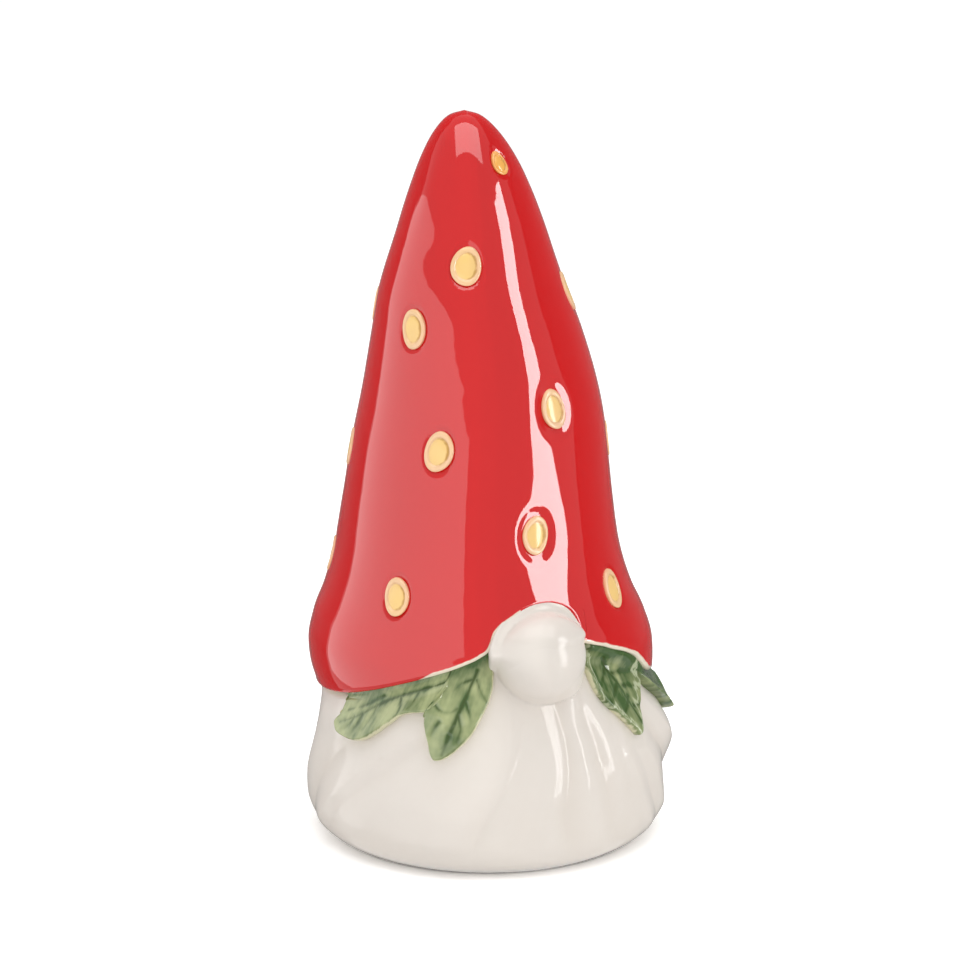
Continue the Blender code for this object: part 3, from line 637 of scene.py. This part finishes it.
grid, valley = beard_grid()
cells = ring_cells(*grid.shape[:2], wrap_rows=True)
beard = new_piece("fluted_beard", grid, cells, cream_glaze, {"valley": valley})
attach(beard, "root")
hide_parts("beard_body")


# Nose. A ball pressed on to the chest while the clay was soft, under the arch of the brim, and
# covered by the same cream glaze, which fills the corner round it.

def nose_grid(columns=96, rows=72):
    """A ball with its poles on the Y axis: sine and cosine of its latitude and turn."""
    latitude = np.linspace(0, np.pi, rows + 1)[None, 1:-1]
    turn = (np.arange(columns) * 2 * np.pi / columns)[:, None]
    ball = [np.sin(latitude) * np.cos(turn), -np.cos(latitude) + 0 * turn, np.sin(latitude) * np.sin(turn)]
    return np.stack(ball, axis=-1) * NOSE_RADIUS + NOSE_CENTRE


poles = NOSE_CENTRE + np.array([(0, -NOSE_RADIUS, 0), (0, NOSE_RADIUS, 0)])
nose = closed_piece("ball_nose", nose_grid(), poles, cream_glaze)
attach(nose, "root")
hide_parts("nose")


# Leaves. Seven calyx leaves pressed from clay and luted on to the beard, with their roots under the
# brim. Their veins are pressed in and brushed with dark green, over a wash of sage, and the cream
# glaze shows along their edges.

LEAF_RISE = 0.0019
LEAF_TUCK = 0.0030
LEAF_EDGE_ROUND = 0.0011
VEIN_DEPTH = 0.00030
VEIN_HALF_WIDTH = 0.0008
STROKE_HALF_WIDTH = 0.00042
LEAF_BEDDED = 0.0012
LIP_SHADE = 0.0026
BRUSHED_LENGTH = 0.016
# Leaves are laid flat at this radius, and swell over LIP_REACH below the brim until they meet it
LEAF_FLAT_RADIUS = 0.045
LIP_REACH = 0.0065
# The front right leaf lies over the side right one between these azimuths, from this height up
OVERLAP = (-0.80, -0.50)
OVERLAP_HEIGHT = 0.04375
GREEN_DEEP = (0.060, 0.115, 0.034)
GREEN_THIN = (0.42, 0.46, 0.23)
GREEN_STROKE = (0.045, 0.075, 0.016, 1)
# Colour of the painted highlight on the front left leaf
PAINTED_GLINT_GREEN = (0.55, 0.60, 0.40, 1)
LEAF_EDGE_CREAM = (0.70, 0.68, 0.46, 1)
# For each leaf: the azimuths of its root's two ends, its free edge between them, its midrib and its
# side veins, all by (azimuth, height in mm), how dark its wash is and how far its end curls up
LEAVES = {
    "leaf_front_right": (
        (-31, -17),
        (
            (-33.5, 51), (-37.5, 47.8), (-40.6, 45.3), (-42.1, 42.6), (-42.0, 39.6), (-41.8, 36.6),
            (-41.4, 34.0), (-39.9, 32.4), (-37.4, 32.7), (-34, 34.3), (-30.8, 36.3), (-27.3, 38.7),
            (-24.2, 41.6), (-21.3, 44.7), (-18.8, 48), (-17.3, 51), (-16.6, 54.2),
        ),
        ((-22.6, 55.2), (-25.6, 50.8), (-29, 45.9), (-31.4, 42.5), (-34.3, 38.8), (-36.8, 34.6)),
        (
            ((-23.1, 52.7), (-21.8, 49.8), (-19.8, 47)), ((-27.2, 47.4), (-26.2, 43.4), (-27.4, 40.6)),
            ((-40.7, 45.9), (-38.2, 47), (-36.5, 45.6), (-33, 44.8), (-30.2, 45.9)),
            ((-36.4, 42.6), (-38.2, 41), (-39.8, 38.9)), ((-33.8, 39.4), (-35.4, 37.2), (-36.6, 36)),
            ((-30, 44.2), (-29.8, 41), (-31.6, 38)), ((-24, 53), (-28.2, 52), (-31.6, 50)),
        ),
        0.38, 0.0010,
    ),
    "leaf_side_right": (
        (-77, -30),
        (
            (-75.3, 43.8), (-77.4, 40.3), (-81.2, 36.8), (-80.5, 34.3), (-75.2, 33.1), (-67.4, 33.9),
            (-62.1, 36.2), (-58.3, 38.3), (-54.6, 40.3), (-51.5, 42.1), (-48.3, 43.2), (-44.6, 43.8),
            (-40.6, 44.3), (-35, 48),
        ),
        (
            (-30, 53.5), (-40, 50.6), (-50.2, 47.8), (-56.1, 45.8), (-65.5, 41.6), (-72, 39), (-77.6, 37.2),
        ),
        (
            ((-50.2, 47.8), (-50.9, 43.9), (-54.6, 41.2)), ((-59.8, 44.4), (-62.4, 40.8), (-66.6, 37)),
            ((-70, 39.9), (-72.6, 37.4), (-75.2, 35.6)), ((-56.5, 47.2), (-65, 43.6), (-72.8, 41.2)),
            ((-66.2, 41.2), (-68.2, 38.6), (-70.8, 36.4)), ((-43, 49.9), (-45.4, 47), (-47.2, 45)),
        ),
        0.25, 0.0010,
    ),
    "leaf_front_left": (
        (20, 47),
        (
            (20.0, 50.8), (20.8, 47.2), (23.3, 43.1), (26.1, 40.2), (29.0, 37.4), (30.8, 35.3),
            (32.0, 33.8), (33.4, 34.4), (36.4, 37.2), (40.6, 40.4), (43.6, 43.2), (47, 46),
        ),
        ((27.6, 55.2), (30.6, 50.2), (33.4, 45), (34.2, 39.7), (34.2, 35.2)),
        (
            ((29.9, 52.3), (25.2, 49.8), (21.8, 47.8)), ((32.6, 48), (27.8, 45.6), (24.6, 44.2)),
            ((35.2, 43.7), (30.4, 41.4), (28.2, 40.5)), ((31.3, 50.2), (39.6, 49.4), (46.0, 48.4)),
            ((34.6, 46.4), (40.9, 45.3), (44.7, 43.6)), ((35.6, 41.1), (40.1, 40.2), (40.5, 38.8)),
        ),
        0.62, 0.0012,
    ),
    "leaf_side_left": (
        (43, 80),
        (
            (46.5, 48.6), (48.8, 45.6), (51.6, 43.4), (54.8, 41.4), (59.4, 39.0), (64.2, 36.6), (68, 34.0),
            (71.5, 32.2), (75, 33.2), (78, 36.4), (80.5, 40.5),
        ),
        ((50, 50), (56, 46), (62, 42.2), (67.4, 38), (72, 33.8)),
        (
            ((56, 46), (56.6, 44), (57, 42.2)), ((62, 42.2), (62.6, 40.2), (63, 38.8)),
            ((60, 43.6), (66, 43.6), (73, 42.6)), ((65, 40), (70, 39.6), (76, 38.2)),
            ((67.4, 38), (67.6, 36.6), (67.8, 35.6)),
        ),
        0.72, 0.0028,
    ),
}
BACK_LEAF_MIDDLES = {"leaf_back_right": -139, "leaf_back_left": 139, "leaf_back": 180}
BACK_LEAF = (
    (-15, 15),
    (
        (-16, 36.5), (-15.2, 31.2), (-12, 27.0), (-7.5, 23.4), (-3, 20.6), (0, 19.6), (3.2, 20.9),
        (7.8, 24.2), (12, 28.4), (15.0, 32.6), (16, 37.0),
    ),
    ((0, 43), (-0.6, 36), (0.4, 29), (-0.2, 21.0)),
    (
        ((-0.3, 37), (-6, 33.4), (-10.8, 31.0)), ((-0.4, 37), (6, 34), (11.2, 32.4)),
        ((0.2, 32.4), (-4.4, 28.6), (-7.6, 26.8)), ((0.1, 32), (5, 29), (8.4, 27.6)),
        ((0.3, 27.6), (-2.4, 25.2), (-4.0, 23.6)), ((0.3, 27.6), (3, 25.4), (4.8, 24.6)),
    ),
    0.45, 0.0010,
)
for name, middle in BACK_LEAF_MIDDLES.items():
    root, free, midrib, veins, wash, curl = BACK_LEAF
    moved = [[(middle + a, h) for a, h in line] for line in (free, midrib, *veins)]
    LEAVES[name] = ((middle + root[0], middle + root[1]), moved[0], moved[1], moved[2:], wash, curl)


def flat_spot(azimuth, height):
    """Azimuth and height laid flat in metres."""
    return np.stack([azimuth * LEAF_FLAT_RADIUS, height + 0 * azimuth], axis=-1)


def line_distance(spots, line):
    """Distance from each spot to a line of points, and how far along the line the nearest point is."""
    nearest, along = np.full(spots.shape[:-1], 1.0), np.zeros(spots.shape[:-1])
    for number, (start, end) in enumerate(zip(line[:-1], line[1:])):
        run = end - start
        t = np.clip(((spots - start) @ run) / (run @ run), 0.0, 1.0)
        away = np.linalg.norm(spots - start - t[..., None] * run, axis=-1)
        along = np.where(away < nearest, (number + t) / (len(line) - 1), along)
        nearest = np.minimum(nearest, away)
    return nearest, along


def smooth_line(line, count=40):
    """Points in degrees and mm as a smooth flat line in metres."""
    flat = flat_spot(*(np.array(line, float) * (math.pi / 180, 0.001)).T)
    return curve_through(flat, by_length(flat), np.linspace(0, 1, count))


def leaf_grid(root, free, midrib, veins, wash, curl, columns=150, rows=120):
    """A leaf as lines from its root to its free edge: the top rises from the beard by a quarter round
    along the edge and sinks by a bell curve along the veins, and the underside lies in the beard."""
    across = np.linspace(0.0, 1.0, columns)[:, None]
    edge = smooth_line(free, 400)
    end = np.concatenate([np.interp(across, by_length(edge), side) for side in edge.T], axis=1)
    root_azimuth = np.radians(root[0] + (root[1] - root[0]) * across)
    root_height = brim_wave(root_azimuth) + 0.0002
    down = np.concatenate([[-1.0, -0.5], 1 - (1 - np.linspace(0.0, 1.0, rows - 2)) ** 1.35])[None, :]
    out = np.clip(down, 0, 1)
    azimuth = root_azimuth + (end[:, :1] / LEAF_FLAT_RADIUS - root_azimuth) * out
    height = root_height + (end[:, 1:] - root_height) * out - np.minimum(down, 0) * LEAF_TUCK
    spots = flat_spot(azimuth, height)
    roots = flat_spot(root_azimuth, root_height)[:, 0]
    borders = [edge[::5], np.stack([roots[0], end[0]]), np.stack([roots[-1], end[-1]])]
    rim = np.min([line_distance(spots, border)[0] for border in borders], axis=0)
    over = (1 - smoothstep(0.25, 0.4, across)) * smoothstep(-0.00125, 0.00125, height - OVERLAP_HEIGHT)
    over = over * (azimuth > OVERLAP[0]) * (azimuth < OVERLAP[1])
    rim = np.maximum(rim, over * LEAF_EDGE_ROUND)
    vein, stroke = 0 * rim, 0 * rim
    for line, strength in [(midrib, 1.0), *((line, 0.8) for line in veins)]:
        away, along = line_distance(spots, smooth_line(line, 14))
        fade = strength * (1 - 0.55 * along)
        vein = np.maximum(vein, fade * np.exp(-((away / VEIN_HALF_WIDTH) ** 2)))
        stroke = np.maximum(stroke, fade * np.exp(-((away / STROKE_HALF_WIDTH) ** 2)))
    quarter = np.sqrt(1 - (1 - np.clip(rim / LEAF_EDGE_ROUND, 0, 1)) ** 2)
    bed = skin_radius(azimuth, height, arch=False)
    rise = (LEAF_RISE + curl * out**2 - VEIN_DEPTH * vein) * quarter - 0.00015
    lip = np.interp(np.degrees(wrapped(azimuth)), *np.array(BRIM_LINE).T) * 0.001
    tucked = smoothstep(lip - LIP_REACH, lip - 0.0005, height) * (1 - smoothstep(lip, lip + 0.0012, height))
    under_lip = hat_radius(lip) + hat_relief(azimuth, lip, dimples=False) - LIP_ROUND
    rise += np.maximum(under_lip - bed - rise, 0) * tucked * quarter
    top = place(azimuth, bed + rise + 0.00005 * over, height)
    underside = place(azimuth, bed - LEAF_BEDDED, height)
    # Numbers for the paint: it reaches closer to the edge under the lip, on a curled leaf and on a dark one
    # Painted shade: the green is darker in a band under the brim's lip, and covers the cream edge there
    shade = np.exp(-((np.maximum(lip - height, 0) / LIP_SHADE) ** 2))
    values = {
        "rim": rim + 0.0010 * (shade + over) + max(curl - 0.0012, 0) + 0.0003 * (wash > 0.6),
        "vein": vein,
        "stroke": stroke,
        "shade": shade,
        "wash": wash + 0 * rim,
        "across": 0 * rim + across * math.radians(root[1] - root[0]) * LEAF_FLAT_RADIUS,
        "along": 0 * rim + out * BRUSHED_LENGTH,
    }
    return np.stack([top, underside]), {label: [numbers, numbers] for label, numbers in values.items()}


def slab_cells(columns, rows):
    """Cells of a top sheet, of the sheet under it and of the wall between them."""
    c, r = np.meshgrid(np.arange(columns - 1), np.arange(rows - 1), indexing="ij")
    corner, beside = c * rows + r, (c + 1) * rows + r
    sheet = np.stack([corner, corner + 1, beside + 1, beside], axis=-1).reshape(-1, 4)
    first, last = np.arange(columns) * rows, np.arange(columns) * rows + rows - 1
    left, right = np.arange(rows), (columns - 1) * rows + np.arange(rows)
    loop = np.concatenate([left, last[1:], right[::-1][1:], first[::-1][1:-1]])
    beyond = np.roll(loop, -1)
    count = columns * rows
    wall = np.stack([beyond, loop, loop + count, beyond + count], axis=-1)
    return sheet.tolist() + (sheet[:, ::-1] + count).tolist() + wall.tolist()


leaf_glaze, tree, glaze, shader = new_glaze(
    "leaf_green_glaze", GREEN_DEEP, GREEN_THIN, mottle=0.8, softness=0.09, shine=0.35
)
wash = attribute(tree, "wash")
rim = attribute(tree, "rim")
spot = {0: attribute(tree, "across"), 1: maths(tree, "MULTIPLY", attribute(tree, "along"), 0.25), 2: wash}
spot = node(tree, "ShaderNodeCombineXYZ", spot).outputs[0]
brush = swing(tree, 420.0, 3.0, 0.6, spot)
dark = maths(tree, "ADD", wash, ramp(tree, attribute(tree, "vein"), 0.05, 0.85, 0.0, 0.45))
# Painted shade: the green darkens in the band under the brim's lip
dark = plus(tree, dark, attribute(tree, "shade"), 0.55)
dark = plus(tree, dark, brush, 1.5)
dark = plus(tree, dark, swing(tree, 170.0), 1.4)
tree.links.new(maths(tree, "SUBTRACT", 1.0, dark), glaze.inputs["Thinness"])
brushed = ramp(tree, plus(tree, attribute(tree, "stroke"), brush, 1.8), 0.15, 0.95, 0.0, 0.85)
colour = blend_colour(tree, brushed, glaze.outputs["Colour"], GREEN_STROKE)
# Painted highlight: a pale jagged line of glints inside the edge of the front left leaf
inside = plus(tree, rim, brush, 0.0085)
painted_glint = maths(tree, "MULTIPLY", ramp(tree, wash, 0.55, 0.60), ramp(tree, wash, 0.64, 0.70, 0.75, 0.0))
painted_glint = maths(tree, "MULTIPLY", painted_glint, ramp(tree, inside, 0.0013, 0.0017))
painted_glint = maths(tree, "MULTIPLY", painted_glint, ramp(tree, inside, 0.0019, 0.0026, 1.0, 0.0))
colour = blend_colour(tree, painted_glint, colour, PAINTED_GLINT_GREEN)
# Cream along the edge, more ragged on a darker leaf
reach = plus(tree, -0.0006, wash, 0.006)
bare = ramp(tree, plus(tree, rim, brush, reach), 0.00035, 0.00075, 0.95, 0.0)
tree.links.new(blend_colour(tree, bare, colour, LEAF_EDGE_CREAM), shader.inputs["Base Color"])

for name, shape in LEAVES.items():
    sheets, values = leaf_grid(*shape)
    leaf = new_piece("calyx_" + name, sheets, slab_cells(*sheets.shape[1:3]), leaf_glaze, values)
    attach(leaf, "root")
    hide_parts(name)


# Seeds. Nineteen oval buttons of clay, each with a broad rim and a low bead in it, pressed into the
# hat's skin so that a dimple is left round them. They are painted ochre over cream, thinly on the rim.

# Heights of the bead and the rim, and their shares of a seed's half size: the bead's edge, then the
# rim's middle line and half width
SEED_BEAD = 0.00055
SEED_RIM = 0.00058
BEAD_EDGE = 0.72
RIM_MIDDLE = 0.845
RIM_HALF_WIDTH = 0.165
SEED_GROOVE_ROUND = 0.00022
OCHRE = (0.90, 0.61, 0.18)
OCHRE_OVER_CREAM = (0.85, 0.55, 0.33)
ORANGE = (0.88, 0.38, 0.05, 1)
GROOVE_BROWN = (0.52, 0.27, 0.055, 1)
ORANGE_SEED = 1


def seed_grid(azimuth, share, size, number, columns=84):
    """A seed in rings from the middle of its top over its edge to its underside, laid on the hat's
    skin. The bead and the rim are half-round ridges over a groove, each the root of 1 - t^2, and the
    outline is an oval with waves of two and three to the turn."""
    across = np.concatenate([np.linspace(0.03, 0.99, 40), [1.0, 0.99, 0.5]])[None, :]
    bead = SEED_BEAD * np.sqrt(np.clip(1 - (across / BEAD_EDGE) ** 2, 0, 1))
    rim = SEED_RIM * np.sqrt(np.clip(1 - ((across - RIM_MIDDLE) / RIM_HALF_WIDTH) ** 2, 0, 1))
    rise = joined(bead, rim, SEED_GROOVE_ROUND) - SEED_GROOVE_ROUND
    # The last rings turn under, into the hat
    rise[:, -3:] = (-0.0005, -0.0014, -0.0014)
    turn = (np.arange(columns) * 2 * np.pi / columns)[:, None]
    wave = 1 + 0.045 * np.cos(2 * turn + 2.9 * number) + 0.022 * np.cos(3 * turn + 1.7 * number)
    level = BRIM_SIDE + share * HAT_HEIGHT
    slope = np.interp(level, OUTLINE[:, 0], OUTLINE_SLOPE)
    sideways = across * wave * np.cos(turn) * SEED_WIDTH / 2 * size
    height = level + across * wave * np.sin(turn) * SEED_LENGTH / 2 * size / math.sqrt(1 + slope**2)
    middle = math.radians(azimuth)
    skin = hat_radius(height) + hat_relief(np.array(middle), np.array(level), dimples=False)
    ring = place(middle + sideways / hat_radius(level), skin + rise, height)
    poles = ring[:, [0, -1]].mean(axis=0)
    # Brown wash in the groove, with painted shade: it is wider and darker on one side, towards larger
    # azimuth, turned a little for each seed
    side = np.cos(turn + 0.5 * np.sin(3.1 * number))
    groove = np.exp(-(((across - 0.66) / (0.07 + 0.07 * np.maximum(side, 0))) ** 2)) * (0.6 + 0.4 * side)
    bead = 1 - smoothstep(0.62, 0.70, across) + 0 * turn
    values = {"groove": groove, "bead": bead, "orange": 0 * bead + (number == ORANGE_SEED)}
    return ring, poles, {label: np.append(numbers, [numbers[0, 0], 0]) for label, numbers in values.items()}


seed_glaze, tree, glaze, shader = new_glaze(
    "seed_yellow_glaze", OCHRE, OCHRE_OVER_CREAM, mottle=0.9, wave=0.00004, softness=0.14, shine=0.35
)
tree.links.new(plus(tree, 0.9, attribute(tree, "bead"), -0.6), glaze.inputs["Thinness"])
orange = maths(tree, "MULTIPLY", attribute(tree, "orange"), 0.7)
colour = blend_colour(tree, orange, glaze.outputs["Colour"], ORANGE)
# Brown wash in the groove, with painted shade on one side of it
groove_wash_and_shade = ramp(tree, plus(tree, attribute(tree, "groove"), swing(tree, 600.0), 1.2), 0.35, 1.05, 0.0, 0.8)
tree.links.new(blend_colour(tree, groove_wash_and_shade, colour, GROOVE_BROWN), shader.inputs["Base Color"])

for number, (azimuth, share, size) in enumerate(SEEDS, start=1):
    grid, poles, values = seed_grid(azimuth, share, size, number)
    seed = closed_piece(f"raised_seed_{number:02d}", grid, poles, seed_glaze, values)
    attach(seed, "root")
    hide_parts(f"seed_{number:02d}")


# Studio. A pale floor, a large soft card at the picture's left, a narrow strip light at its right, a
# card overhead and two grey boards that only the glaze reflects, with the camera a little above the
# piece and round to its right.

MIDDLE = Vector((0, 0, 0.095))
AMBIENT = 0.84
BOARD_GREY = (0.22, 0.22, 0.22, 1)
FLOOR_GREY = 0.86
FLOOR_TO_CAMERA = 1.24
CAMERA_AZIMUTH = -22
CAMERA_ELEVATION = 12
CAMERA_DISTANCE = 0.746
CAMERA_AIM = Vector((0, 0, 0.0953))
CAMERA_ASIDE = 0.0008


def from_middle(azimuth, elevation):
    """Direction from the piece towards an azimuth and an elevation in degrees."""
    a, e = math.radians(azimuth), math.radians(elevation)
    return Vector((math.sin(a) * math.cos(e), -math.cos(a) * math.cos(e), math.sin(e)))


def add_card(name, azimuth, elevation, distance, width, height, shine, light):
    """Soft card that faces the piece, as two area lamps in one place: one that the glaze reflects and
    one that lights the colours. Each one's power is its radiance times pi times the card's area."""
    spot = from_middle(azimuth, elevation) * distance
    for label, radiance in (("reflected_" + name, shine), (name, light)):
        card = bpy.data.lights.new(label, "AREA")
        card.shape = "RECTANGLE"
        card.size, card.size_y = width, height
        card.energy = radiance * math.pi * width * height
        lamp = bpy.data.objects.new(label, card)
        lamp.location = spot + MIDDLE
        lamp.rotation_euler = (-spot).to_track_quat("-Z", "Y").to_euler()
        lamp.visible_diffuse = label == name
        lamp.visible_glossy = label != name
        bpy.context.scene.collection.objects.link(lamp)


add_card("left_soft_card", -85, 0, distance=0.9, width=2.4, height=1.0, shine=2.0, light=1.05)
add_card("right_strip_light", 37.5, 12, distance=1.0, width=0.33, height=1.12, shine=17.0, light=3.2)
add_card("overhead_card", -20, 75, distance=1.2, width=1.1, height=0.7, shine=4.5, light=2.6)

board_paint = bpy.data.materials.new("grey_board_paint")
board_paint.use_nodes = True
paint = board_paint.node_tree.nodes["Principled BSDF"].inputs
paint["Base Color"].default_value = BOARD_GREY
paint["Roughness"].default_value = 0.9


def add_sheet(name, corners, paint):
    """One flat sheet with these four corners."""
    mesh = bpy.data.meshes.new(name)
    mesh.from_pydata([tuple(corner) for corner in corners], [], [(0, 1, 2, 3)])
    mesh.materials.append(paint)
    sheet = bpy.data.objects.new(name, mesh)
    bpy.context.scene.collection.objects.link(sheet)
    return sheet


def add_board(name, azimuth, distance, width, height):
    """Grey upright board that faces the piece and shows only in reflections."""
    middle = from_middle(azimuth, 0) * distance
    along = from_middle(azimuth + 90, 0) * width / 2
    low, high = Vector((0, 0, -height / 2)), Vector((0, 0, height))
    corners = [middle - along + low, middle + along + low, middle + along + high, middle - along + high]
    board = add_sheet(name, corners, board_paint)
    board.visible_camera = board.visible_diffuse = board.visible_shadow = False


add_board("right_board", 112, distance=0.7, width=1.3, height=1.2)
add_board("left_board", -172, distance=0.7, width=0.9, height=1.2)

# The world is white to the camera and in reflections, and AMBIENT in the light that it gives
world = bpy.data.worlds.new("pale_studio")
bpy.context.scene.world = world
world.use_nodes = True
tree = world.node_tree
rays = node(tree, "ShaderNodeLightPath").outputs
seen = maths(tree, "MAXIMUM", rays["Is Glossy Ray"], rays["Is Transmission Ray"])
seen = maths(tree, "MAXIMUM", rays["Is Camera Ray"], seen)
tree.nodes["Background"].inputs["Color"].default_value = (1, 1, 1, 1)
tree.links.new(plus(tree, AMBIENT, seen, 1.0 - AMBIENT), tree.nodes["Background"].inputs["Strength"])

# The floor is pale grey to the light, and white to the camera outside the piece's shadow
floor_paint = bpy.data.materials.new("pale_floor_paint")
floor_paint.use_nodes = True
tree = floor_paint.node_tree
seen = node(tree, "ShaderNodeLightPath").outputs["Is Camera Ray"]
level = plus(tree, FLOOR_GREY, seen, FLOOR_TO_CAMERA - FLOOR_GREY)
tint = node(tree, "ShaderNodeCombineColor", {0: level, 1: level, 2: level}).outputs[0]
flat = node(tree, "ShaderNodeBsdfDiffuse", {"Color": tint})
tree.links.new(flat.outputs[0], tree.nodes["Material Output"].inputs["Surface"])
floor = add_sheet("pale_floor", [(-12, -12, 0), (12, -12, 0), (12, 12, 0), (-12, 12, 0)], floor_paint)
floor.location.z = -0.0002
floor.visible_glossy = False

camera_data = bpy.data.cameras.new("camera")
camera_data.lens = 100
camera_data.sensor_width = 36
camera = bpy.data.objects.new("camera", camera_data)
towards = from_middle(CAMERA_AZIMUTH, CAMERA_ELEVATION)
aim = CAMERA_AIM + from_middle(CAMERA_AZIMUTH + 90, 0) * CAMERA_ASIDE
camera.location = aim + towards * CAMERA_DISTANCE
camera.rotation_euler = (-towards).to_track_quat("-Z", "Y").to_euler()
bpy.context.scene.collection.objects.link(camera)
bpy.context.scene.camera = camera
bpy.context.scene.view_settings.view_transform = "Standard"
